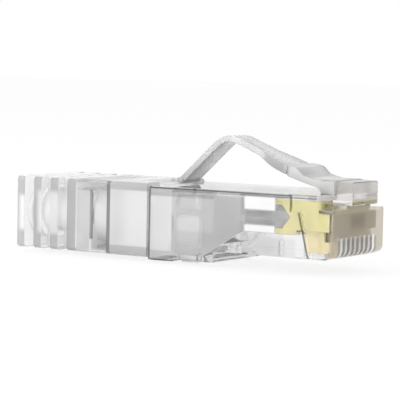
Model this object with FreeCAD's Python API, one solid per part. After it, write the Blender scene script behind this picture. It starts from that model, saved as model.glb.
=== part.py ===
import FreeCAD, Part
import math
import os

# Modular plug for an eight-wire network cable, with a boot and an arched latch.
# x runs forward to the nose, y across the plug and z up to the latch. Sizes are
# in millimetres, measured from the contact face (x = 0), the middle of the plug
# (y = 0) and the underside of the front section (z = 0). The finished pieces are
# moved so that the middle of the underside of the whole plug is the origin.

V = FreeCAD.Vector

# Moulded body
body_width = 11.68
body_height = 6.6
body_length = 22.4
deep_length = 8.25          # rear section, which hangs lower for the cable jacket
deep_drop = 1.43
deep_step = 0.23            # the underside is higher beside and ahead of the crimp bar
side_wall = 1.0
roof = 0.62
deep_floor = 0.7
front_wall = 0.65
front_round = 0.9           # bottom front edge that leads the plug into the jack
panel_step = 0.15           # side panels stand proud of the bare sides
panel_top_gap = 0.15
panel_end_top = 4.8         # upper front corner of the side panel, behind the face
panel_end_low = 2.75        # lower front corner of the side panel
panel_jog = 0.8             # step forward in the panel's front edge
panel_jog_drop = 1.8        # from the top of the body down to that step
slit_width = 0.48
slit_depth = 0.4

# Wire chamber inside the body
ramp_lead = 1.85            # the floor starts to rise this far behind the deep section's front
ramp_length = 5.0
chamber_floor = 2.3
chamber_step = 0.5          # the floor is higher under the front of the load bar
chamber_step_back = 4.5
shoulder_drop = 1.5         # top of the body beside the nose block, below the rest
shoulder_length = 1.6
shoulder_roof = 0.35

# Nose block, which carries the latch
nose_half_width = 2.7
nose_reach = 0.84           # ahead of the contact face
nose_back = 1.35
nose_rise = 1.35            # above the top of the body
nose_gap = 0.4              # under the reach, above the shoulder
nose_line_drop = 0.12
nose_line_depth = 0.06

# Contacts and their slots
contact_count = 8
contact_pitch = 1.02
contact_thickness = 0.35
contact_side_gap = 0.05
contact_bottom = 0.48
contact_front = 1.1
contact_length = 2.75
contact_round = 0.45
contact_notch_height = 1.7
contact_notch_depth = 0.6
contact_tine = 0.5
contact_tine_back = 0.65    # front tine, behind the notch
slot_front_drop = 0.1       # top of the slots at the face, below the chamber floor
slot_end_gap = 0.2

# Wires, one row above the other
wire_bore = 0.96
wire_wall = 0.34            # plastic left outside each row

# Load bar
bar_length = 6.4
bar_gap = 0.05

# Cable guide with its septum and arrowhead
guide_lead = 0.6            # the guide starts this far up the ramp
guide_overhang = 0.15       # and ends this far past its top
guide_gap = 0.05
cheek_thickness = 0.62      # the guide's side walls
cheek_round = 0.8
wing_end_gap = 0.1          # low rear part of the cheeks, up to the boot's collar
septum_tail_half = 0.2
septum_root_length = 1.6
septum_root_half = 1.2
septum_neck_half = 0.52
septum_neck_length = 0.95
arrow_half = 1.2
arrow_flat = 0.75
arrow_length = 1.75
arrow_gap = 0.05

# Crimp bar, moulded with the body over a well in its underside
well_lead = 0.2             # the well ends this far behind the foot of the ramp
well_half_width = 3.9
crimp_gap = 0.25
crimp_drop = 0.19           # how far the bar stands out below the body
crimp_flat = 2.0            # flat stretch under the rear of the bar
crimp_neck = 0.45           # overlap with the floor ahead of the well
crimp_front_rise = 1.58     # top of the bar above the floor, at its front and rear
crimp_rear_rise = 0.28

# Latch: an arm from the nose and a leg down to the body
latch_half_width = 1.65
latch_thickness = 0.68
plate_half_width = 3.1
hinge_back = 3.0
hinge_rise = 0.98           # heights of the latch above the top of the body
hinge_radius = 0.46
hinge_gap = 0.05
hinge_mouth = 0.2
apex_back = 15.53           # where the outer lines of arm and leg would cross
apex_rise = 6.11
apex_round = 2.9
arm_slope = 22.0
leg_slope = 42.8
knee_after_round = 0.4
foot_radius = 0.36
foot_half_width = 1.97
foot_gap = 0.15
lug_rear = 7.15
lug_rear_rise = 2.88
lug_crest = 5.85
lug_crest_rise = 2.65
lug_foot = 4.98
lug_foot_rise = 1.82
lug_under_rise = 1.73
lug_chamfer_length = 0.6
lug_chamfer_width = 0.35
flare_rear = 11.0
flare_front = 8.2
flare_half_width = 2.65
flare_swell = 0.3

# Boot
boot_length = 17.7
boot_lift = 0.21            # underside of the boot above that of the body
boot_step = 0.33            # top of the boot above that of the body
boot_seat_gap = 0.3         # between the boot and the rear of the body
boot_edge = 0.5
fin_thickness = 1.05
fin_pitch = 2.32
fin_count = 4
web_half_width = 4.6
web_inset = 0.05
core_half_width = 5.3
core_half_height = 3.0
cable_bore = 5.1
window_length = 4.2
window_skin = 0.35
pillar_length = 1.95
pillar_depth = 0.45
pillar_drop = 0.65
pillar_round = 0.7
boot_panel_rear = 1.2       # solid strip between the last gap and the window
boot_cavity_length = 4.3
boot_cavity_half_width = 4.1
boot_cavity_wall = 0.56
sleeve_length = 3.2
sleeve_gap = 0.04
sleeve_end_gap = 0.05       # before the crimp bar
latch_notch_length = 2.6
latch_notch_half_width = 3.4
latch_notch_drop = 0.08     # its floor lies below the top of the body

# Small grip pockets along the lower edge of the body
pocket_width = 0.56
pocket_height = 0.9
pocket_depth = 0.35

# Places that follow from the sizes above
half_width = body_width / 2
cavity_half = half_width - side_wall
cavity_top = body_height - roof
deep_bottom = -deep_drop
deep_front = body_length - deep_length
step_bottom = deep_bottom + deep_step
cavity_floor = deep_bottom + deep_floor
ramp_rear = deep_front + ramp_lead
ramp_front = ramp_rear - ramp_length
panel_jog_height = body_height - panel_jog_drop
shoulder_height = body_height - shoulder_drop
shoulder_ceiling = shoulder_height - shoulder_roof
shoulder_back = shoulder_length + shoulder_roof
high_floor = chamber_floor + chamber_step
nose_top = body_height + nose_rise
nose_bottom = shoulder_height + nose_gap
nose_line_height = body_height - nose_line_drop
contact_back = contact_front + contact_length
wire_row_low = chamber_floor + bar_gap + wire_wall + wire_bore / 2
wire_row_high = cavity_top - bar_gap - wire_wall - wire_bore / 2
septum_height = (chamber_floor + cavity_top) / 2
bar_rear = front_wall + bar_gap + bar_length
arrow_tip = bar_rear - arrow_length
septum_neck_back = bar_rear + septum_neck_length
guide_rear = ramp_rear - guide_lead
guide_front = ramp_front - guide_overhang
hinge_height = body_height + hinge_rise
apex_height = body_height + apex_rise
boot_front = body_length + boot_seat_gap
boot_rear = boot_front + boot_length
boot_bottom = deep_bottom + boot_lift
boot_top = body_height + boot_step
boot_middle = (boot_bottom + boot_top) / 2
window_rear = boot_rear - (fin_count - 1) * fin_pitch - boot_panel_rear
sleeve_end = boot_front - sleeve_length
crimp_rear = sleeve_end - sleeve_end_gap
well_rear = crimp_rear + crimp_gap
well_front = ramp_rear + well_lead


def outline(corners, at):
    """Face inside (u, v, radius) corners, where at(u, v) is a point in space."""
    count = len(corners)
    ends = []
    for index, (u, v, radius) in enumerate(corners):
        here = V(u, v, 0)
        back = V(corners[index - 1][0], corners[index - 1][1], 0) - here
        ahead = V(corners[(index + 1) % count][0], corners[(index + 1) % count][1], 0) - here
        back.normalize()
        ahead.normalize()
        if radius == 0:
            ends.append((here, here, here))
            continue
        half = back.getAngle(ahead) / 2
        reach = radius / math.tan(half)
        toward = back + ahead
        toward.normalize()
        middle = here + toward * (radius / math.sin(half) - radius)
        ends.append((here + back * reach, middle, here + ahead * reach))
    edges = []
    for index, (first, middle, last) in enumerate(ends):
        following = ends[(index + 1) % count][0]
        if first != last:
            edges.append(Part.Arc(at(first.x, first.y), at(middle.x, middle.y),
                                  at(last.x, last.y)).toShape())
        if last.distanceToPoint(following) > 1e-6:
            edges.append(Part.makeLine(at(last.x, last.y), at(following.x, following.y)))
    return Part.Face(Part.Wire(edges))


def side_piece(corners, low, high):
    """Prism with (x, z, radius) corners, from y = low to y = high."""
    face = outline(corners, lambda x, z: V(x, low, z))
    return face.extrude(V(0, high - low, 0))


def plan_piece(corners, low, high):
    """Prism with (x, y, radius) corners, from z = low to z = high."""
    face = outline(corners, lambda x, y: V(x, y, low))
    return face.extrude(V(0, 0, high - low))


def end_piece(corners, rear, front):
    """Prism with (y, z, radius) corners, from x = rear to x = front."""
    face = outline(corners, lambda y, z: V(rear, y, z))
    return face.extrude(V(front - rear, 0, 0))


def sharp(points):
    """Corners with no rounding."""
    return [(u, v, 0) for u, v in points]


def end_box(rear, front, half, low, high, radius=0):
    """Bar along x, symmetric about the middle, with rounded long edges."""
    corners = [(-half, low, radius), (half, low, radius), (half, high, radius), (-half, high, radius)]
    return end_piece(corners, rear, front)


def pin(back, height, radius, half):
    """Cylinder across the plug."""
    return Part.makeCylinder(radius, 2 * half, V(-back, -half, height), V(0, 1, 0))


def mirrored(shape):
    """The same shape on the other side of the middle."""
    return shape.mirror(V(0, 0, 0), V(0, 1, 0))


def both_sides(shape):
    """A shape and its mirror image, as a list."""
    return [shape, mirrored(shape)]


def contact_place(index):
    """Distance of one contact from the middle."""
    return (index - (contact_count - 1) / 2) * contact_pitch


def wire_height(index):
    """Height of one wire: neighbours lie in different rows."""
    return wire_row_high if index % 2 == 0 else wire_row_low


def wire_bores(rear, front):
    """Eight round passages along the plug."""
    return [Part.makeCylinder(wire_bore / 2, front - rear, V(rear, contact_place(i), wire_height(i)),
                              V(1, 0, 0)) for i in range(contact_count)]


def panel_front(height):
    """How far behind the contact face the slanted panel edge lies at a height."""
    slope = (panel_end_top - panel_jog - panel_end_low) / panel_jog_height
    return panel_end_low + slope * height


# Moulded body

def body_block():
    """Outside of the body without its side panels."""
    bare_half = half_width - panel_step
    low = [(-body_length, deep_bottom, 0.3), (-crimp_rear, deep_bottom, 0.1),
           (-crimp_rear, step_bottom, 0), (-deep_front, step_bottom, 0.2), (-deep_front, 0, 0.1),
           (0, 0, front_round), (0, shoulder_height, 0.15), (-shoulder_length, shoulder_height, 0),
           (-shoulder_length, body_height, 0), (-body_length, body_height, 0)]
    block = side_piece(low, -bare_half, bare_half)
    nose = end_box(-shoulder_length - 0.5, 0, nose_half_width, shoulder_height - 0.3, body_height)
    return block.fuse(nose)


def side_panels():
    """Raised panels on both sides, with the slanted front edge."""
    top = body_height - panel_top_gap
    corners = [(-body_length, deep_bottom + 0.05, 0), (-crimp_rear - 0.05, deep_bottom + 0.05, 0),
               (-crimp_rear - 0.05, step_bottom + 0.05, 0), (-deep_front, step_bottom + 0.05, 0),
               (-deep_front, 0.05, 0), (-panel_front(0.05), 0.05, 0),
               (-panel_front(panel_jog_height), panel_jog_height, 0),
               (-panel_end_top + 0.1, panel_jog_height, 0.3), (-panel_end_top, panel_jog_height + 0.7, 0.3),
               (-panel_end_top, top, 0.4), (-body_length, top, 0)]
    panel = side_piece(corners, half_width - panel_step - 0.05, half_width)
    cheek = side_piece([(-panel_front(0) + 0.15, 0.05, 0), (0, 0.05, front_round - 0.05),
                        (0, shoulder_height - 0.1, 0.15),
                        (-panel_front(shoulder_height) + slit_width, shoulder_height - 0.1, 0.15)],
                       half_width - panel_step - 0.05, half_width)
    return both_sides(panel) + both_sides(cheek)


def side_slits():
    """Narrow wedge-shaped slits ahead of the side panels."""
    low = panel_front(0)
    high = panel_front(panel_jog_height)
    wedge = side_piece([(-low, -0.1, 0), (-low + 0.12, -0.1, 0),
                        (-high + slit_width, panel_jog_height, 0.2), (-high, panel_jog_height, 0.2)],
                       half_width - slit_depth, half_width + 1)
    return both_sides(wedge)


def wire_chamber():
    """Room for the cable, the guide and the load bar, open at the rear."""
    corners = sharp([(-body_length - 1, cavity_floor), (-ramp_rear, cavity_floor),
                     (-ramp_front, chamber_floor), (-chamber_step_back, chamber_floor),
                     (-chamber_step_back, high_floor), (-front_wall, high_floor),
                     (-front_wall, shoulder_ceiling), (-shoulder_back, shoulder_ceiling),
                     (-shoulder_back, cavity_top), (-body_length - 1, cavity_top)])
    return side_piece(corners, -cavity_half, cavity_half)


def contact_slots():
    """Slots in the underside and front, one for each contact."""
    half = contact_thickness / 2 + contact_side_gap
    back = contact_back + slot_end_gap
    slot_top = chamber_floor - slot_front_drop
    corners = [(-back, -0.1, 0), (1, -0.1, 0), (1, slot_top, 0),
               (-front_wall, slot_top, 0.25), (-front_wall - 0.3, high_floor + 0.1, 0),
               (-back, high_floor + 0.1, 0)]
    return [side_piece(corners, contact_place(i) - half, contact_place(i) + half)
            for i in range(contact_count)]


def crimp_well():
    """Rectangular opening through the floor of the deep section."""
    return Part.makeBox(well_rear - well_front, 2 * well_half_width, deep_floor + 0.2,
                        V(-well_rear, -well_half_width, deep_bottom - 0.1))


def crimp_bar():
    """Wedge that the crimping tool folds up against the cable jacket."""
    rear = -crimp_rear
    front = -well_front - crimp_gap
    neck = -well_front + crimp_neck
    low = deep_bottom - crimp_drop
    corners = [(rear, low, 0), (rear + crimp_flat, low, 0), (front, deep_bottom + 0.05, 0),
               (front, cavity_floor, 0), (-well_front, cavity_floor - 0.15, 0),
               (neck, cavity_floor - 0.15, 0), (neck, cavity_floor + crimp_front_rise, 0.1),
               (rear, cavity_floor + crimp_rear_rise, 0)]
    half = well_half_width - crimp_gap
    return side_piece(corners, -half, half)


def grip_pockets():
    """Small pockets with round tops along the lower edges of both sides."""
    cuts = []
    for back, low in ((deep_front + 1.8, step_bottom), (deep_front - 3.1, 0)):
        corners = [(-back - pocket_width / 2, low - 0.3, 0), (-back + pocket_width / 2, low - 0.3, 0),
                   (-back + pocket_width / 2, low + pocket_height, 0.25),
                   (-back - pocket_width / 2, low + pocket_height, 0.25)]
        cuts += both_sides(side_piece(corners, half_width - pocket_depth, half_width + 1))
    return cuts


def nose_block():
    """Block on the nose that carries the latch and stops it from snagging."""
    corners = [(-nose_back, shoulder_height - 0.3, 0), (0, shoulder_height - 0.3, 0),
               (0, nose_bottom, 0), (nose_reach, nose_bottom, 0.2), (nose_reach, nose_top, 0.2),
               (-nose_back, nose_top + 0.05, 0)]
    block = side_piece(corners, -nose_half_width, nose_half_width)
    line = end_box(-nose_back - 1, nose_reach + 1, nose_half_width + 1, nose_line_height,
                   nose_line_height + nose_line_depth)
    heart = end_box(-nose_back - 1, nose_reach - nose_line_depth, nose_half_width - nose_line_depth,
                    nose_bottom - 1, nose_top + 1)
    return block.cut(line.cut(heart))


def latch_root():
    """Stub behind the nose block, hollowed for the round end of the latch arm."""
    rear = -hinge_back + hinge_mouth
    corners = sharp([(rear, body_height - 0.1), (-nose_back + 0.1, body_height - 0.1),
                     (-nose_back + 0.1, hinge_height + hinge_radius),
                     (rear, hinge_height + hinge_radius)])
    stub = side_piece(corners, -plate_half_width, plate_half_width)
    return stub.cut(pin(hinge_back, hinge_height, hinge_radius + hinge_gap, plate_half_width + 1))


def make_housing():
    """The clear moulding."""
    shape = body_block().fuse(side_panels() + [nose_block(), latch_root()])
    shape = shape.cut([wire_chamber(), crimp_well()] + contact_slots() + side_slits() + grip_pockets())
    return shape.fuse(crimp_bar()).removeSplitter()


# Latch

arm_line = V(-math.cos(math.radians(arm_slope)), 0, math.sin(math.radians(arm_slope)))
leg_line = V(-math.cos(math.radians(leg_slope)), 0, -math.sin(math.radians(leg_slope)))
arm_inward = V(arm_line.z * -1, 0, arm_line.x)
leg_inward = V(-leg_line.z, 0, leg_line.x)
apex = V(-apex_back, 0, apex_height)
round_run = apex_round * math.tan(math.radians((arm_slope + leg_slope) / 2))
knee = apex + leg_line * (round_run + knee_after_round) + leg_inward * (latch_thickness / 2)
foot_height = body_height + foot_gap + foot_radius
foot = knee + leg_line * ((knee.z - foot_height) / math.sin(math.radians(leg_slope)))


def arm_top(back):
    """Height of the outer line of the arm."""
    return apex_height - (apex_back - back) * math.tan(math.radians(arm_slope))


def arm_under(back):
    """Height of the inner line of the arm."""
    return arm_top(back) - latch_thickness / math.cos(math.radians(arm_slope))


def arched_strip():
    """Narrow strip from the hinge plate over the apex to the knee."""
    inner = apex + (arm_inward + leg_inward) * (latch_thickness / (1 + arm_inward.dot(leg_inward)))
    knee_top = knee - leg_inward * (latch_thickness / 2)
    knee_low = knee + leg_inward * (latch_thickness / 2)
    corners = [(-lug_foot, arm_top(lug_foot), 0), (apex.x, apex.z, apex_round),
               (knee_top.x, knee_top.z, 0), (knee_low.x, knee_low.z, 0),
               (inner.x, inner.z, apex_round - latch_thickness), (-lug_foot, arm_under(lug_foot), 0)]
    strip = side_piece(corners, -latch_half_width, latch_half_width)
    return strip.fuse(pin(-knee.x, knee.z, latch_thickness / 2, latch_half_width))


def lug_plate():
    """Wide plate with the locking lugs, which flares out of the strip."""
    corners = [(-hinge_back, hinge_height + hinge_radius, 0),
               (-hinge_back - 0.4, hinge_height + hinge_radius, 0.5),
               (-lug_foot, body_height + lug_foot_rise, 0.5),
               (-lug_crest, body_height + lug_crest_rise, 0.3),
               (-lug_rear, body_height + lug_rear_rise, 0),
               (-lug_rear, arm_top(lug_rear), 0), (-flare_rear, arm_top(flare_rear), 0),
               (-flare_rear, arm_under(flare_rear), 0),
               (-flare_front - 1.0, arm_under(flare_front + 1.0) - flare_swell, 0.8),
               (-lug_rear, body_height + lug_under_rise, 0.3), (-hinge_back, hinge_height - hinge_radius, 0)]
    side = side_piece(corners, -plate_half_width, plate_half_width)
    half = [(-hinge_back, plate_half_width, 0), (-lug_rear + lug_chamfer_length, plate_half_width, 0),
            (-lug_rear, plate_half_width - lug_chamfer_width, 0), (-lug_rear - 0.1, flare_half_width, 0),
            (-flare_front, flare_half_width, 1.5), (-flare_rear + 0.2, latch_half_width, 2.0),
            (-flare_rear - 0.5, latch_half_width, 0)]
    other = [(x, -y, radius) for x, y, radius in reversed(half)]
    plan = plan_piece(half + other, body_height, apex_height)
    return side.common(plan)


def make_arm():
    """Front part of the latch, from the nose to the knee."""
    end = pin(hinge_back, hinge_height, hinge_radius, plate_half_width)
    return lug_plate().fuse([arched_strip(), end]).removeSplitter()


def make_leg():
    """Rear part of the latch, from the knee to the foot on the body."""
    half_thick = leg_inward * (latch_thickness / 2)
    top = knee - half_thick
    low = knee + half_thick
    foot_top = foot - half_thick
    foot_low = foot + half_thick
    bar = side_piece(sharp([(top.x, top.z), (foot_top.x, foot_top.z), (foot_low.x, foot_low.z),
                            (low.x, low.z)]), -latch_half_width, latch_half_width)
    mouth = latch_thickness / 2 + hinge_gap
    relief_start = knee - leg_inward * 1.5 * latch_thickness
    relief_end = relief_start + leg_line * (mouth * math.cos(math.radians(45)) + hinge_gap)
    relief_deep = knee + leg_line * mouth
    relief = side_piece(sharp([(relief_start.x, relief_start.z), (relief_end.x, relief_end.z),
                               (relief_deep.x, relief_deep.z), (knee.x, knee.z)]),
                        -latch_half_width - 1, latch_half_width + 1)
    bar = bar.cut([pin(-knee.x, knee.z, mouth, latch_half_width + 1), relief])
    roller = pin(-foot.x, foot.z, foot_radius, foot_half_width)
    return bar.fuse(roller).removeSplitter()


# Pieces inside the body

def make_load_bar():
    """Bar with eight staggered passages, which lines the wires up over the contacts."""
    rear = -bar_rear
    front = -front_wall - bar_gap
    corners = [(rear, chamber_floor + bar_gap, 0.1),
               (-chamber_step_back - bar_gap, chamber_floor + bar_gap, 0.3),
               (-chamber_step_back - bar_gap, high_floor + bar_gap, 0), (front, high_floor + bar_gap, 0),
               (front, shoulder_ceiling - bar_gap, 0),
               (-shoulder_back - bar_gap, shoulder_ceiling - bar_gap, 0),
               (-shoulder_back - bar_gap, cavity_top - bar_gap, 0.3), (rear, cavity_top - bar_gap, 0.1)]
    bar = side_piece(corners, -cavity_half + bar_gap, cavity_half - bar_gap)
    pocket = side_piece(sharp(arrow_points(arrow_gap, bar_gap)), -half_width, half_width)
    slots = []
    half = contact_thickness / 2 + contact_side_gap
    for index in range(contact_count):
        place = contact_place(index)
        tall = wire_height(index) + contact_side_gap * 4
        slots.append(Part.makeBox(contact_length - contact_notch_depth + 2 * slot_end_gap, 2 * half,
                                  tall - high_floor + 0.1,
                                  V(-contact_back - slot_end_gap, place - half, high_floor - 0.1)))
    return bar.cut([pocket] + wire_bores(rear - 1, 0) + slots)


def arrow_points(grow, tail):
    """Outline of the arrowhead, made larger all round by a gap."""
    rear = -bar_rear - tail
    flat = -bar_rear + arrow_flat + grow / 2
    tip = -arrow_tip + grow
    half = arrow_half + grow
    return [(rear, septum_height - half), (flat, septum_height - half), (tip, septum_height),
            (flat, septum_height + half), (rear, septum_height + half)]


def guide_under(back):
    """Height of the guide's underside, just above the ramp."""
    rise = (chamber_floor - cavity_floor) / (ramp_rear - ramp_front)
    return cavity_floor + (ramp_rear - back) * rise + guide_gap * 2


def guide_cheeks():
    """Side walls of the guide, tall over the ramp and low beside the crimp bar."""
    wing_rear = sleeve_end - wing_end_gap
    wing_top = septum_height + septum_tail_half
    low = cavity_floor + guide_gap * 2
    top = cavity_top - guide_gap
    corners = [(-wing_rear, low, 0), (-ramp_rear, low, 0), (-ramp_front, guide_under(ramp_front), 0),
               (-guide_front, guide_under(ramp_front), 0), (-guide_front, top, 0),
               (-guide_rear, top, cheek_round), (-guide_rear, wing_top, 0.3),
               (-wing_rear, wing_top, cheek_round)]
    outside = cavity_half - guide_gap
    return both_sides(side_piece(corners, outside - cheek_thickness, outside))


def guide_septum():
    """Level plate that parts the two rows of wires, with an arrowhead for the load bar."""
    upper = [(-guide_rear, septum_height + septum_tail_half),
             (-guide_front - septum_root_length, septum_height + septum_tail_half),
             (-guide_front, septum_height + septum_root_half),
             (-septum_neck_back, septum_height + septum_neck_half),
             (-bar_rear, septum_height + septum_neck_half)]
    lower = [(x, 2 * septum_height - z) for x, z in reversed(upper)]
    half = cavity_half - guide_gap
    return side_piece(sharp(lower[::-1] + arrow_points(0, 0) + upper[::-1]), -half, half)


def make_cable_guide():
    """Clear guide on the ramp, which spreads the wires into two rows."""
    shape = guide_septum().fuse(guide_cheeks())
    return shape.cut(wire_bores(-guide_rear - 1, 0)).removeSplitter()


def make_contact(index):
    """Gold-plated blade with two tines that bite into its wire."""
    back = -contact_back
    front = -contact_front
    notch = front - contact_notch_depth
    tip = wire_height(index)
    first = notch - contact_tine_back
    second = first - contact_tine
    corners = [(back, contact_bottom, 0.1), (front, contact_bottom, contact_round),
               (front, contact_notch_height, 0.05), (notch, contact_notch_height, 0),
               (notch, high_floor, 0.1), (first, high_floor, 0),
               (first, tip - contact_tine, 0), (first - contact_tine / 2, tip, 0),
               (second, tip - contact_tine, 0), (second, high_floor, 0),
               (back + contact_tine, high_floor, 0), (back + contact_tine, tip - contact_tine, 0),
               (back + contact_tine / 2, tip, 0), (back, tip - contact_tine, 0)]
    place = contact_place(index)
    return side_piece(corners, place - contact_thickness / 2, place + contact_thickness / 2)


# Boot

def boot_plate(rear, front):
    """Full cross-section of the boot."""
    return end_box(rear, front, half_width, boot_bottom, boot_top, boot_edge)


def boot_fins():
    """Ribs that let the boot bend, all but the last, which is part of the panel."""
    return [boot_plate(-boot_rear + i * fin_pitch, -boot_rear + i * fin_pitch + fin_thickness)
            for i in range(fin_count - 1)]


def boot_webs():
    """Bridges over and under the core between the fins, none in the rearmost gap."""
    rear = -boot_rear + fin_pitch + fin_thickness / 2
    front = -boot_rear + (fin_count - 1) * fin_pitch + fin_thickness / 2
    return end_box(rear, front, web_half_width, boot_bottom + web_inset, boot_top - web_inset, 0.3)


def boot_core(rear, front):
    """Oval tube round the cable."""
    return end_box(rear, front, core_half_width, boot_middle - core_half_height,
                   boot_middle + core_half_height, core_half_height - 0.05)


def boot_pillars():
    """Round-topped pads on both sides of the core, inside the window."""
    low = boot_bottom + window_skin
    high = boot_top - window_skin - pillar_drop
    corners = [(-window_rear - 0.1, low, 0), (-window_rear + pillar_length, low, 0),
               (-window_rear + pillar_length, high, pillar_round), (-window_rear - 0.1, high, 0)]
    return both_sides(side_piece(corners, core_half_width - 1.0, core_half_width + pillar_depth / 2))


def boot_panel():
    """Front half of the boot, with a window round the core."""
    rear = -boot_rear + (fin_count - 1) * fin_pitch
    window_front = -window_rear + window_length
    panel = boot_plate(rear, -boot_front)
    window = end_box(-window_rear, window_front, half_width + 1, boot_bottom + window_skin,
                     boot_top - window_skin)
    return panel.cut(window).fuse(boot_pillars())


def boot_sleeve():
    """Collar that plugs into the rear of the body."""
    return end_box(-boot_front - 0.2, -boot_front + sleeve_length, cavity_half - sleeve_gap,
                   cavity_floor + sleeve_gap, cavity_top - sleeve_gap, 0.4)


def boot_cavity():
    """Rectangular room inside the front of the boot and its collar."""
    return end_box(-boot_front - boot_cavity_length, -boot_front + sleeve_length + 1,
                   boot_cavity_half_width, cavity_floor + boot_cavity_wall,
                   cavity_top - boot_cavity_wall, 0.8)


def make_boot():
    """Strain relief boot."""
    shape = boot_core(-boot_rear, -window_rear + window_length + 0.1)
    shape = shape.fuse(boot_fins() + [boot_webs(), boot_panel(), boot_sleeve()])
    bore = Part.makeCylinder(cable_bore / 2, boot_length, V(-boot_rear - 1, 0, boot_middle), V(1, 0, 0))
    notch = end_box(-boot_front - latch_notch_length, -boot_front + 0.1, latch_notch_half_width,
                    body_height - latch_notch_drop, boot_top + 1)
    return shape.cut([bore, boot_cavity(), notch]).removeSplitter()


def origin_shift():
    """Move that puts the middle of the plug's underside at the origin."""
    lowest = deep_bottom - crimp_drop
    return V((boot_rear - nose_reach) / 2, 0, -lowest)


def main():
    os.makedirs("parts", exist_ok=True)
    pieces = {"plug_housing": make_housing(), "latch_front_arm": make_arm(), "latch_rear_leg": make_leg(),
              "load_bar": make_load_bar(), "cable_guide": make_cable_guide(),
              "strain_relief_boot": make_boot()}
    for index in range(contact_count):
        pieces["contact_%d" % (index + 1)] = make_contact(index)
    for name, shape in pieces.items():
        shape.translate(origin_shift())
        shape.exportStep("parts/" + name + ".step")
        print(name, "solids", len(shape.Solids), "volume %.2f" % shape.Volume, "valid", shape.isValid())
    shift = origin_shift()
    for name, point in (("hinge", V(-hinge_back, 0, hinge_height)), ("knee", knee), ("foot", foot)):
        place = point + shift
        print(name, "x %.3f z %.3f" % (place.x, place.z))
    print("shift", shift)


main()
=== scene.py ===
import bmesh
import bpy
import math
from mathutils import Matrix, Vector


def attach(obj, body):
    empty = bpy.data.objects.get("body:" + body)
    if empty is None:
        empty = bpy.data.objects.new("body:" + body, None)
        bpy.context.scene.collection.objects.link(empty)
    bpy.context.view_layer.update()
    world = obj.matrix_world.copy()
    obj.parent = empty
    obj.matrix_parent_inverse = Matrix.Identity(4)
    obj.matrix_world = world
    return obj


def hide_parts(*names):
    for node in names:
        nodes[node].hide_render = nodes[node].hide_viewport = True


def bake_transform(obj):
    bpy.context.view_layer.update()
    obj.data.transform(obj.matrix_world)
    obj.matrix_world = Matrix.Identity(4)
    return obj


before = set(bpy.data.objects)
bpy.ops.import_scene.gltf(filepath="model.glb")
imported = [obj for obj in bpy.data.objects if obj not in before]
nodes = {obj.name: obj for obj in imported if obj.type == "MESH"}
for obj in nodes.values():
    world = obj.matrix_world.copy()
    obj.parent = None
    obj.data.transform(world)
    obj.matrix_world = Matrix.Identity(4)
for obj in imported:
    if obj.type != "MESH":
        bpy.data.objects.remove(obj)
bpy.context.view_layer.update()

MM = 0.001
SHARP = math.radians(28)   # edges that turn more than this are rounded on CAD nodes, and sharp on skins


def link(piece):
    bpy.context.scene.collection.objects.link(piece)
    return piece


# Material nodes

GRAIN_DEPTH = 0.02 * MM
MOULD_GRAIN = 900.0                    # noise scale of a moulded surface
SLIT_LEAN = 0.26                       # mm that the slits in the housing's sides lean back per mm of height
FACING, FACING_SOFT = 0.6, 0.25        # part of a normal along an axis at which a face counts as facing it
SPECK_LEVEL, SPECK_SOFT = 0.55, 0.05   # level of the noise at which a speck begins
THICK_TINT = (0.5, 0.5, 0.505, 1)      # colour of long paths through the plastic


def material(name):
    """New node material, with its tree, shader and output."""
    made = bpy.data.materials.new(name)
    made.use_nodes = True
    tree = made.node_tree
    return made, tree, tree.nodes["Principled BSDF"], tree.nodes["Material Output"]


def set_inputs(node, **values):
    """Constant values on a node's own sockets; an underscore stands for a space."""
    for name, value in values.items():
        node.inputs[name.replace("_", " ")].default_value = value


def add(tree, kind, **values):
    """New node, with its own settings."""
    node = tree.nodes.new(kind)
    for name, value in values.items():
        setattr(node, name, value)
    return node


def combine(tree, operation, first, second):
    """Product or maximum of two outputs, by the name of the operation."""
    node = add(tree, "ShaderNodeMath", operation=operation)
    tree.links.new(first, node.inputs[0])
    tree.links.new(second, node.inputs[1])
    return node.outputs[0]


def noise_bump(tree, shader, scale, strength):
    """Fine mould grain in the surface."""
    place = add(tree, "ShaderNodeTexCoord")
    noise = add(tree, "ShaderNodeTexNoise")
    set_inputs(noise, Scale=scale, Detail=3.0, Roughness=0.55)
    bump = add(tree, "ShaderNodeBump")
    set_inputs(bump, Strength=strength, Distance=GRAIN_DEPTH)
    tree.links.new(place.outputs["Object"], noise.inputs["Vector"])
    tree.links.new(noise.outputs["Fac"], bump.inputs["Height"])
    tree.links.new(bump.outputs["Normal"], shader.inputs["Normal"])


def mix_colours(tree, factor, first, second):
    """Mix of two colours, where each one is a tuple or an output."""
    mix = add(tree, "ShaderNodeMix", data_type="RGBA")
    tree.links.new(factor, mix.inputs[0])
    for index, value in ((6, first), (7, second)):  # the A and B sockets for colours
        if isinstance(value, tuple):
            mix.inputs[index].default_value = (*value, 1)
        else:
            tree.links.new(value, mix.inputs[index])
    return mix.outputs[2]


def step(tree, value, at, soft, rising):
    """Soft step up or down where a value passes a place."""
    node = add(tree, "ShaderNodeMapRange", interpolation_type="SMOOTHSTEP")
    set_inputs(node, From_Min=at - soft, From_Max=at + soft, To_Min=1.0 - rising, To_Max=float(rising))
    tree.links.new(value, node.inputs["Value"])
    return node.outputs["Result"]


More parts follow.
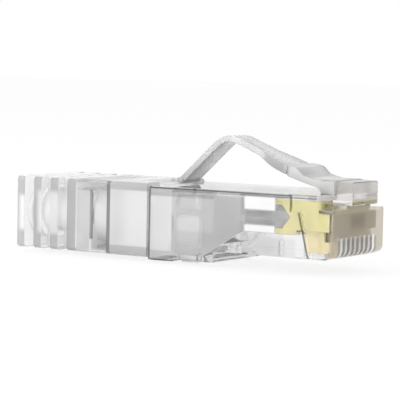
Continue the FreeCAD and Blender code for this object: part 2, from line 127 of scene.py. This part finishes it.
class Paint:
    """Colours laid over one another by place and by the way the surface faces: painted shade and painted
    highlights in the base colour, and clarity by place.
    """

    def __init__(self, tree, ground):
        self.tree = tree
        self.colour = ground
        place = add(tree, "ShaderNodeTexCoord")
        self.where = place.outputs["Object"]
        self.place = self.parts(self.where, 1 / MM)
        self.faces = self.parts(place.outputs["Normal"], 1.0)
        lean = add(tree, "ShaderNodeMath", operation="MULTIPLY_ADD")
        lean.inputs[1].default_value = SLIT_LEAN
        tree.links.new(self.place["z"], lean.inputs[0])
        tree.links.new(self.place["x"], lean.inputs[2])
        self.place["s"] = lean.outputs[0]

    def parts(self, vector, scale):
        """Scaled components of a vector, with y without its sign, so that both sides are alike."""
        size = add(self.tree, "ShaderNodeVectorMath", operation="SCALE")
        set_inputs(size, Scale=scale)
        split = add(self.tree, "ShaderNodeSeparateXYZ")
        self.tree.links.new(vector, size.inputs[0])
        self.tree.links.new(size.outputs[0], split.inputs[0])
        side = add(self.tree, "ShaderNodeMath", operation="ABSOLUTE")
        self.tree.links.new(split.outputs[1], side.inputs[0])
        return {"x": split.outputs[0], "y": side.outputs[0], "z": split.outputs[2]}

    def coat(self, colour, faces=None, soft=0.12, grain=None, **spans):
        """One coat over the ones before. A span is (low, high) in mm along x, y, z or the leaning line s, and
        either end may be None; soft is half the width of its edges; faces is +x, -x, y, +z or -z; grain is
        the scale of the specks that the coat is broken into."""
        steps = []
        for axis, (low, high) in spans.items():
            for at, rising in ((low, 1), (high, 0)):
                if at is not None:
                    steps.append(step(self.tree, self.place[axis], at, soft, rising))
        if faces:
            turn = -FACING if faces[0] == "-" else FACING
            steps.append(step(self.tree, self.faces[faces[-1]], turn, FACING_SOFT, turn > 0))
        if grain:
            specks = add(self.tree, "ShaderNodeTexNoise")
            set_inputs(specks, Scale=grain, Detail=1.0)
            self.tree.links.new(self.where, specks.inputs["Vector"])
            steps.append(step(self.tree, specks.outputs["Fac"], SPECK_LEVEL, SPECK_SOFT, 1))
        mask = steps[0]
        for other in steps[1:]:
            mask = combine(self.tree, "MULTIPLY", mask, other)
        self.colour = mix_colours(self.tree, mask, self.colour, colour)


def grey(level):
    """Linear grey from an sRGB level out of 255."""
    value = level / 255
    value = value / 12.92 if value < 0.04 else ((value + 0.055) / 1.055) ** 2.4
    return (value, value, value)


def opaque(name, grain, strength, **values):
    """Material of one colour with grain."""
    made, tree, shader, output = material(name)
    set_inputs(shader, **values)
    noise_bump(tree, shader, grain, strength)
    return made


def plastic(name, roughness, ior, absorb, ground, painted_shading_coats, clear, clears):
    """Moulded plastic, darker along thick paths. Coats of painted shade and painted highlights colour it by
    place and by facing over its ground colour. It is as clear as the value of clear, from 0, milky, to 1, and
    clears changes that by place."""
    made, tree, shader, output = material(name)
    set_inputs(shader, Roughness=roughness, IOR=ior, Transmission_Weight=clear)
    noise_bump(tree, shader, MOULD_GRAIN, 0.25)
    paint = Paint(tree, ground)
    for colour, options in painted_shading_coats:
        paint.coat(colour, **options)
    tree.links.new(paint.colour, shader.inputs["Base Color"])
    if clears:
        paint = Paint(tree, (clear, clear, clear))
        for amount, options in clears:
            paint.coat((amount, amount, amount), **options)
        tree.links.new(paint.colour, shader.inputs["Transmission Weight"])
    volume = add(tree, "ShaderNodeVolumeAbsorption")
    set_inputs(volume, Color=THICK_TINT, Density=absorb)
    tree.links.new(volume.outputs["Volume"], output.inputs["Volume"])
    return made


def dress(node, made, bevel=0.07):
    """Gives a CAD node its material and slightly rounded edges, bevel mm wide."""
    piece = nodes[node]
    piece.data.materials.clear()
    piece.data.materials.append(made)
    weld = piece.modifiers.new("weld", "WELD")
    weld.merge_threshold = 0.001 * MM
    flat = piece.modifiers.new("flat", "DECIMATE")
    flat.decimate_type = "DISSOLVE"
    flat.angle_limit = math.radians(0.4)
    rounding = piece.modifiers.new("edge", "BEVEL")
    rounding.width = bevel * MM
    rounding.segments = 2
    rounding.limit_method = "ANGLE"
    rounding.angle_limit = SHARP
    rounding.harden_normals = False


# Places that the coats share, in mm: x along the plug, y out from its middle, z up

SIDE = (5.6, None)           # outer side faces, in y
SIDE_EDGED = (5.5, None)     # side faces with their rounded edges, in y
CHEEK = (3.9, None)          # cheeks of the guide, in y
SLEEVE_END = 0.35            # x of the front end of the boot's sleeve, inside the housing
CHEEK_END = 9.0              # x of the front end of the guide's cheeks
NECK_SIDES = (9.4, 13.1)     # x of the white places above and below the guide's neck
BAR_REAR = 12.6              # x of the rear face of the load bar
FRONT = (18.8, None)         # front wall of the housing, in x
SLIT = dict(s=(17.3, 18.0), y=(4.9, None), z=(1.6, 6.6))
SHOULDER = dict(x=(18.2, None), z=(6.3, 7.05), y=(None, 5.0))   # roof over the contacts

body = plastic("clear_body", 0.03, 1.2, 10.0, grey(254), [
    # painted shade on the top, darker behind the load bar, on the underside, and on faces that look ahead and
    # back
    (grey(220), dict(faces="+z", x=(None, BAR_REAR))),
    (grey(238), dict(faces="+z", x=(BAR_REAR, 16.9))),
    (grey(248), dict(faces="-z")),
    (grey(240), dict(faces="+x")),
    (grey(240), dict(faces="-x")),
    # painted shade where the roof and floor are seen edge on through the side walls
    (grey(208), dict(z=(7.2, 8.05), y=SIDE, x=(None, 8.9))),
    (grey(208), dict(z=(7.7, 8.05), y=SIDE, x=(8.9, 14.9))),
    (grey(165), dict(z=(1.5, 1.72), y=(5.55, None), x=(7.5, 16.5), soft=0.06)),
    # painted shade on the middle of the wall, then on the wall round the boot's sleeve, darker low down, with
    # painted dark lines at its rear and lower edge
    (grey(238), dict(x=(5.6, 8.9), y=SIDE_EDGED, soft=0.3)),
    (grey(215), dict(z=(None, 1.3), y=SIDE, x=(None, SLEEVE_END))),
    (grey(110), dict(x=(None, -2.45), y=SIDE_EDGED, soft=0.08)),
    (grey(110), dict(z=(None, 0.35), y=SIDE, x=(None, SLEEVE_END), soft=0.06)),
    # painted shadow lines outlining the side panel: its top edge, and its front edge above the jog
    (grey(80), dict(z=(7.98, 8.14), y=SIDE, x=(None, 15.0), soft=0.04)),
    (grey(110), dict(x=(14.85, 15.05), y=SIDE, z=(6.4, 8.14), soft=0.05)),
    # painted shade on the rear rim of the crimp well, and on the lower wall
    (grey(205), dict(x=(SLEEVE_END, 0.6), y=SIDE, z=(1.2, 5.2), soft=0.15)),
    (grey(235), dict(x=(0.4, 15.6), y=SIDE_EDGED, z=(None, 3.6), soft=0.3)),
    # painted shade inside the slits
    (grey(110), dict(SLIT, faces="+x")),
    (grey(110), dict(SLIT, faces="-x")),
    # painted shade in warm tones on the front, standing for the contacts seen through it, and painted shade
    # on the shoulder and on the block at the latch's root
    ((0.47, 0.42, 0.34), dict(x=FRONT, z=(None, 7.0), faces="+x")),
    ((0.29, 0.27, 0.24), dict(x=FRONT, z=(None, 3.6), y=(None, 4.3), faces="+x")),
    ((0.34, 0.29, 0.23), dict(x=FRONT, z=(4.7, 6.2), y=(None, 1.6), faces="+x", soft=0.7)),
    ((0.55, 0.50, 0.38), SHOULDER),
    ((0.68, 0.66, 0.64), dict(x=(16.9, None), z=(7.6, None))),
    ((0.22, 0.21, 0.19), dict(x=(17.9, None), z=(8.6, None), faces="+z")),
], 0.97, [
    # rear half, the wall round the sleeve, the wall beside the crimp well, and the lower edge
    (0.82, dict(x=(None, 8.9), faces="y")),
    (0.6, dict(x=(None, SLEEVE_END), faces="y")),
    (0.66, dict(x=(0.9, 3.9), z=(1.7, 5.2), faces="y", soft=0.35)),
    (0.75, dict(x=(SLEEVE_END, 9.2), z=(None, 2.2), y=(5.4, None), soft=0.8)),
    # front wall, block at the latch's root, and shoulder
    (0.5, dict(x=FRONT, z=(None, 7.0), y=(None, 4.8))),
    (0.5, dict(x=FRONT, z=(None, 7.0), faces="+x")),
    (0.5, dict(x=(17.9, None), z=(7.6, None))),
    (0.5, SHOULDER),
    # wall before the guide's neck and the load bar, and the white places above and below the neck
    (0.99, dict(x=(9.2, BAR_REAR))),
    (0.9, dict(x=(12.9, 18.3), z=(1.8, 7.4), y=SIDE, faces="y", soft=0.2)),
    (0.3, dict(x=NECK_SIDES, z=(6.4, 7.8), y=SIDE, faces="y", soft=0.15)),
    (0.3, dict(x=NECK_SIDES, z=(4.05, 4.8), y=SIDE, faces="y", soft=0.15)),
])

latch = plastic("clear_latch", 0.25, 1.2, 20.0, grey(246), [
    # painted shade by the way each face faces: the upper face, with stipple on the arm, the underside, and
    # the faces ahead and behind
    (grey(228), dict(faces="+z")),
    (grey(195), dict(faces="+z", x=(5.0, 12.4), grain=5500.0)),
    (grey(240), dict(faces="-z")),
    (grey(240), dict(faces="+x")),
    (grey(170), dict(faces="-x")),
    # painted shade on the sides of the flare, and on the slope down to the plate
    (grey(200), dict(faces="y", x=(9.3, 12.4), soft=0.5)),
    (grey(205), dict(faces="+z", x=(13.9, 15.6))),
], 0.5, [])

guide = plastic("clear_guide", 0.25, 1.1, 10.0, grey(254), [
    # painted shade on the rear faces, the cheeks' sides, the sides ahead of the cheeks, and all ahead of the
    # load bar's rear face
    (grey(190), dict(faces="-x")),
    (grey(222), dict(y=CHEEK, x=(None, CHEEK_END), faces="y")),
    (grey(221), dict(x=(CHEEK_END, None), faces="y")),
    (grey(204), dict(x=(BAR_REAR, None))),
], 0.98, [
    (0.55, dict(y=CHEEK, x=(None, CHEEK_END))),
    (0.7, dict(x=(CHEEK_END, None), faces="y")),
])

boot = plastic("clear_boot", 0.25, 1.15, 20.0, grey(247), [
    # painted shade on the sides of the fins, with a painted highlight on the first and lighter middles on the
    # next, painted shade on the core between them, and painted light on the faces that look ahead
    (grey(190), dict(y=SIDE, x=(None, -12.4))),
    (grey(254), dict(z=(2.4, 6.3), y=SIDE, x=(-20.3, -19.5), soft=0.4)),
    (grey(238), dict(z=(2.2, 6.9), y=SIDE, x=(-17.7, -14.8), soft=0.4)),
    (grey(185), dict(z=(2.0, 7.0), y=(4.8, 5.5), x=(-18.9, -18.2), soft=0.3)),
    (grey(254), dict(faces="+x")),
    # painted shade on the window and its pillar
    (grey(165), dict(x=(-10.78, -10.3), y=(5.2, None), z=(1.9, 7.5))),
    (grey(140), dict(faces="-x", x=(-8.6, -8.0), y=(5.2, None))),
    (grey(222), dict(faces="y", x=(-12.4, -10.8))),
    # painted shade on the front panel: its wall, upper band and lower band, and a painted dark line at its
    # rear edge
    (grey(225), dict(y=SIDE, x=(-8.0, -6.0), soft=1.2)),
    (grey(205), dict(z=(7.6, None), y=SIDE, x=(-8.2, None))),
    (grey(205), dict(z=(None, 1.5), y=SIDE, x=(-8.2, None))),
    (grey(150), dict(y=SIDE, x=(-8.3, -7.8), soft=0.05)),
], 0.45, [
    (0.85, dict(faces="+x", x=(None, -14.0))),
    (0.8, dict(z=(7.3, None), x=(-12.4, -8.3))),
    (0.92, dict(x=(-2.9, None))),   # the sleeve inside the housing
])

bar = opaque("yellow_bar", MOULD_GRAIN, 0.2,
             Base_Color=(1.0, 0.92, 0.42, 1), Roughness=0.45, Transmission_Weight=0.1, IOR=1.2)
gold = opaque("gold_contact", 1500.0, 0.3, Base_Color=(1.0, 0.86, 0.5, 1), Roughness=0.35, Metallic=0.4)

dress("plug_housing", body)
dress("load_bar", bar)
dress("cable_guide", guide)
dress("strain_relief_boot", boot, 0.12)
for number in range(1, 9):
    dress("contact_%d" % number, gold, 0.03)


# Latch: a plate, a strip and a foot, built as fixed skins of the one moulding that in the real plug flexes at
# its root and behind
#  its peak. Places and sizes are in mm, a place in the plane of the latch is (x, z), and a ring is a
#  section's corners as (x, y, z).

ARM_SLOPE, LEG_SLOPE = math.radians(22.0), math.radians(42.8)
ARM_TOP = (4.25, 14.33)           # a point that the upper face of the arm would pass through
ARM_IN = (-math.sin(ARM_SLOPE), -math.cos(ARM_SLOPE))
LEG_IN = (math.sin(LEG_SLOPE), -math.cos(LEG_SLOPE))
LEG_LINE = (-math.cos(LEG_SLOPE), -math.sin(LEG_SLOPE))
THICKNESS = 0.68
STRIP_HALF = 1.65
PEAK_CENTRE, PEAK_ROUND, PEAK_STEPS = (4.870, 10.947), 2.9, 12
KNEE = (2.837, 12.558)            # hinge behind the peak, on the middle line of the leg
FOOT, FOOT_ROUND, FOOT_HALF, FOOT_SIDES = (-1.297, 8.730), 0.36, 1.97, 20
STRIP_EDGE, FOOT_EDGE = 0.09, 0.06  # rounding of the edges

# place along the plug, upper height, lower height, half width
PLATE = [
    (18.55, 9.67, 8.21, 3.11), (17.5, 9.67, 8.21, 3.11), (17.25, 9.67, 8.21, 3.11), (16.95, 9.67, 8.22, 3.11),
    (16.8, 9.67, 8.6, 3.11), (16.55, 9.67, 8.79, 3.1), (16.3, 9.68, 8.88, 3.1), (16.0, 9.75, 8.97, 3.1),
    (15.5, 9.87, 9.11, 3.1), (15.05, 9.98, 9.24, 3.1), (14.8, 10.07, 9.32, 3.1), (14.6, 10.23, 9.37, 3.1),
    (14.1, 10.71, 9.52, 3.1), (13.9, 10.84, 9.58, 3.1), (13.7, 10.91, 9.64, 3.1), (13.2, 11.0, 9.78, 3.1),
    (12.63, 11.1, 9.95, 2.75),
]
# place along the plug, half width, what is added to the thickness
FLARE = [
    (12.75, 2.65, 0.24), (12.0, 2.63, 0.25), (11.4, 2.52, 0.27), (10.8, 2.33, 0.27), (10.2, 2.11, 0.22),
    (9.6, 1.88, 0.13), (9.0, 1.71, 0.04), (8.4, STRIP_HALF, 0), (7.2, STRIP_HALF, 0),
]
# distances down the leg from the knee, close together where it bends
LEG_RUNS = (-0.2, 0.0, 0.2, 0.4, 0.6, 0.8, 1.0, 1.3, 2.0, 3.0, 4.0, 5.0, 5.65)


def moved(point, way, length):
    """Point in the plane of the latch, moved along a direction."""
    return (point[0] + way[0] * length, point[1] + way[1] * length)


def ring(top, low, half):
    """Four corners of a section from its upper and lower line (x, z)."""
    return [(top[0], -half, top[1]), (top[0], half, top[1]), (low[0], half, low[1]), (low[0], -half, low[1])]


def skin(name, rings, bevel):
    """Closed mesh through the rings, with rounded edges."""
    form = bmesh.new()
    loops = [[form.verts.new([MM * part for part in corner]) for corner in corners] for corners in rings]
    count = len(loops[0])
    for first, second in zip(loops, loops[1:]):
        for k in range(count):
            form.faces.new((first[k], first[(k + 1) % count], second[(k + 1) % count], second[k]))
    form.faces.new(loops[0])
    form.faces.new(loops[-1])
    bmesh.ops.recalc_face_normals(form, faces=form.faces)
    corners = [line for line in form.edges if line.calc_face_angle(0) > math.radians(30)]
    bmesh.ops.bevel(form, geom=corners, offset=bevel * MM, segments=2, profile=0.5, affect="EDGES")
    mesh = bpy.data.meshes.new(name)
    form.to_mesh(mesh)
    form.free()
    for face in mesh.polygons:
        face.use_smooth = True
    mesh.set_sharp_from_angle(angle=SHARP)
    mesh.materials.append(latch)
    return link(bpy.data.objects.new(name, mesh))


def plate_rings():
    """Root, plate and lugs."""
    return [ring((x, top), (x, low), half) for x, top, low, half in PLATE]


def strip_rings():
    """Arm behind the lugs with its flare, round peak and leg."""
    rings = []
    for x, half, swell in FLARE:
        top = (x, ARM_TOP[1] - (x - ARM_TOP[0]) * math.tan(ARM_SLOPE))
        rings.append(ring(top, moved(top, ARM_IN, THICKNESS + swell), half))
    for count in range(PEAK_STEPS + 1):
        angle = math.radians(90) - ARM_SLOPE + (ARM_SLOPE + LEG_SLOPE) * count / PEAK_STEPS
        out = (math.cos(angle), math.sin(angle))
        top = moved(PEAK_CENTRE, out, PEAK_ROUND)
        low = moved(PEAK_CENTRE, out, PEAK_ROUND - THICKNESS)
        rings.append(ring(top, low, STRIP_HALF))
    for run in LEG_RUNS:
        middle = moved(KNEE, LEG_LINE, run)
        top = moved(middle, LEG_IN, -THICKNESS / 2)
        low = moved(middle, LEG_IN, THICKNESS / 2)
        rings.append(ring(top, low, STRIP_HALF))
    return rings


def foot_rings():
    """Rod across the end of the leg."""
    turns = [math.radians(360 * k / FOOT_SIDES) for k in range(FOOT_SIDES)]
    outline = [moved(FOOT, (math.cos(turn), math.sin(turn)), FOOT_ROUND) for turn in turns]
    return [[(x, y, z) for x, z in outline] for y in (-FOOT_HALF, FOOT_HALF)]


plate = skin("latch_plate", plate_rings(), STRIP_EDGE)
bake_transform(plate)
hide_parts("latch_front_arm")
strip = skin("latch_strip", strip_rings(), STRIP_EDGE)
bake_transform(strip)
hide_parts("latch_front_arm", "latch_rear_leg")
foot = skin("latch_foot", foot_rings(), FOOT_EDGE)
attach(foot, "latch_leg")


# Studio: soft lamps, a pale floor that shows white but keeps the shadow, and a white world

LAMP_TARGET = (0, 0, 0.006)
FLOOR_HALF, FLOOR_DROP = 3.0, 0.1 * MM
FLOOR_GLOW = 0.85   # share of plain white in the floor as seen directly, in a gloss or through the plug


def area_lamp(name, place, size, power):
    """Square lamp turned to the plug."""
    data = bpy.data.lights.new(name, "AREA")
    data.shape = "SQUARE"
    data.size = size
    data.energy = power
    lamp = link(bpy.data.objects.new(name, data))
    lamp.location = place
    lamp.rotation_euler = (Vector(place) - Vector(LAMP_TARGET)).to_track_quat("Z", "Y").to_euler()


def pale_floor():
    """Floor material that shows near white to the camera and in the plastic, and lights the plug as a pale
    floor does."""
    made, tree, shader, output = material("pale_floor")
    set_inputs(shader, Base_Color=(0.9, 0.9, 0.9, 1), Roughness=0.9, Specular_IOR_Level=0.0)
    noise_bump(tree, shader, 400.0, 0.05)
    path = add(tree, "ShaderNodeLightPath")
    seen = combine(tree, "MAXIMUM", path.outputs["Is Camera Ray"], path.outputs["Is Glossy Ray"])
    seen = combine(tree, "MAXIMUM", seen, path.outputs["Is Transmission Ray"])
    share = add(tree, "ShaderNodeMath", operation="MULTIPLY")
    share.inputs[1].default_value = FLOOR_GLOW
    glow = add(tree, "ShaderNodeEmission")
    mixed = add(tree, "ShaderNodeMixShader")
    tree.links.new(seen, share.inputs[0])
    tree.links.new(share.outputs[0], mixed.inputs[0])
    tree.links.new(shader.outputs[0], mixed.inputs[1])
    tree.links.new(glow.outputs[0], mixed.inputs[2])
    tree.links.new(mixed.outputs[0], output.inputs["Surface"])
    return made


area_lamp("key", (-0.10, -0.30, 0.22), 0.16, 0.3)
area_lamp("top", (-0.05, 0.05, 0.35), 0.2, 0.15)
area_lamp("front", (0.25, -0.25, 0.06), 0.16, 0.15)

floor_mesh = bpy.data.meshes.new("floor")
floor_mesh.from_pydata([(x * FLOOR_HALF, y * FLOOR_HALF, -FLOOR_DROP)
                        for x, y in ((-1, -1), (1, -1), (1, 1), (-1, 1))], [], [(0, 1, 2, 3)])
floor_mesh.materials.append(pale_floor())
floor = link(bpy.data.objects.new("floor", floor_mesh))

world = bpy.data.worlds.new("studio")
world.use_nodes = True
set_inputs(world.node_tree.nodes["Background"], Color=(1, 1, 1, 1), Strength=1.0)
bpy.context.scene.world = world


# Camera

YAW, PITCH, ROLL = math.radians(32.295), math.radians(3.981), math.radians(1.169)
CAMERA_PLACE = (0.10883, -0.17190, 0.020695)
FOCAL, SENSOR = 166.53, 36.0

back = Vector((math.sin(YAW) * math.cos(PITCH), -math.cos(YAW) * math.cos(PITCH), math.sin(PITCH)))
right = (-back).cross(Vector((0, 0, 1))).normalized()
up = right.cross(-back)
right, up = (right * math.cos(ROLL) + up * math.sin(ROLL), up * math.cos(ROLL) - right * math.sin(ROLL))
lens = bpy.data.cameras.new("camera")
lens.lens = FOCAL
lens.sensor_width = SENSOR
camera = link(bpy.data.objects.new("camera", lens))
turn = Matrix((right, up, back)).transposed().to_4x4()
camera.matrix_world = Matrix.Translation(CAMERA_PLACE) @ turn
bpy.context.scene.camera = camera

bpy.context.scene.view_settings.view_transform = "Standard"
